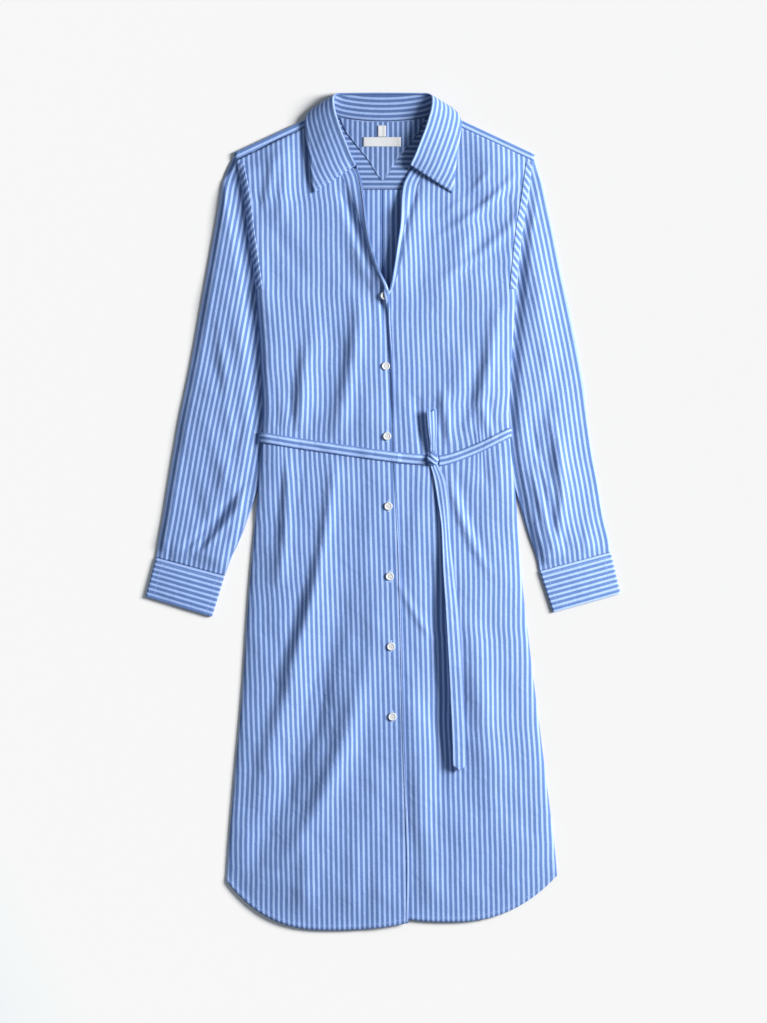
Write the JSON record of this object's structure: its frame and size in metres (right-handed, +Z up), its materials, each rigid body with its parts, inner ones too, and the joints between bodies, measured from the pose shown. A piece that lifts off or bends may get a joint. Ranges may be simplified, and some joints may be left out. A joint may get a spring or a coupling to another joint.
{
  "type": "shirt dress",
  "caption": "Long-sleeved striped shirt dress laid flat, with a shirt collar, an open V neck, a button front, cuffs, a tied fabric belt with a hanging end and a curved hem.",
  "frame": {"origin": "under the middle of the dress's outline, on the surface it lies on", "axes": "+Z up from the surface, +Y from the hem towards the collar, +X towards the wearer's left sleeve, which is on the right as it is seen from above"},
  "size_m": [0.666, 1.1732, 0.0158],
  "materials": {
    "cloth": "blue and white striped cotton poplin, matt",
    "button": "cream white resin, softly polished",
    "tape": "plain white woven tape"
  },
  "bodies": {
    "root": {"back": "cloth", "yoke": "cloth", "yoke_facing": "cloth", "neck_patch": "cloth", "front_left": "cloth", "front_right": "cloth", "collar_stand": "cloth", "collar": "cloth", "armhole_band_right": "cloth", "armhole_band_left": "cloth", "sleeve_right": "cloth", "sleeve_left": "cloth", "cuff_right": "cloth", "cuff_left": "cloth", "belt": "cloth", "belt_tail": "cloth", "belt_short_end": "cloth", "belt_knot": "cloth", "button_1": "button", "button_2": "button", "button_3": "button", "button_4": "button", "button_5": "button", "button_6": "button", "button_7": "button", "neck_label": "tape", "hanger_loop": "tape"}
  },
  "joints": []
}
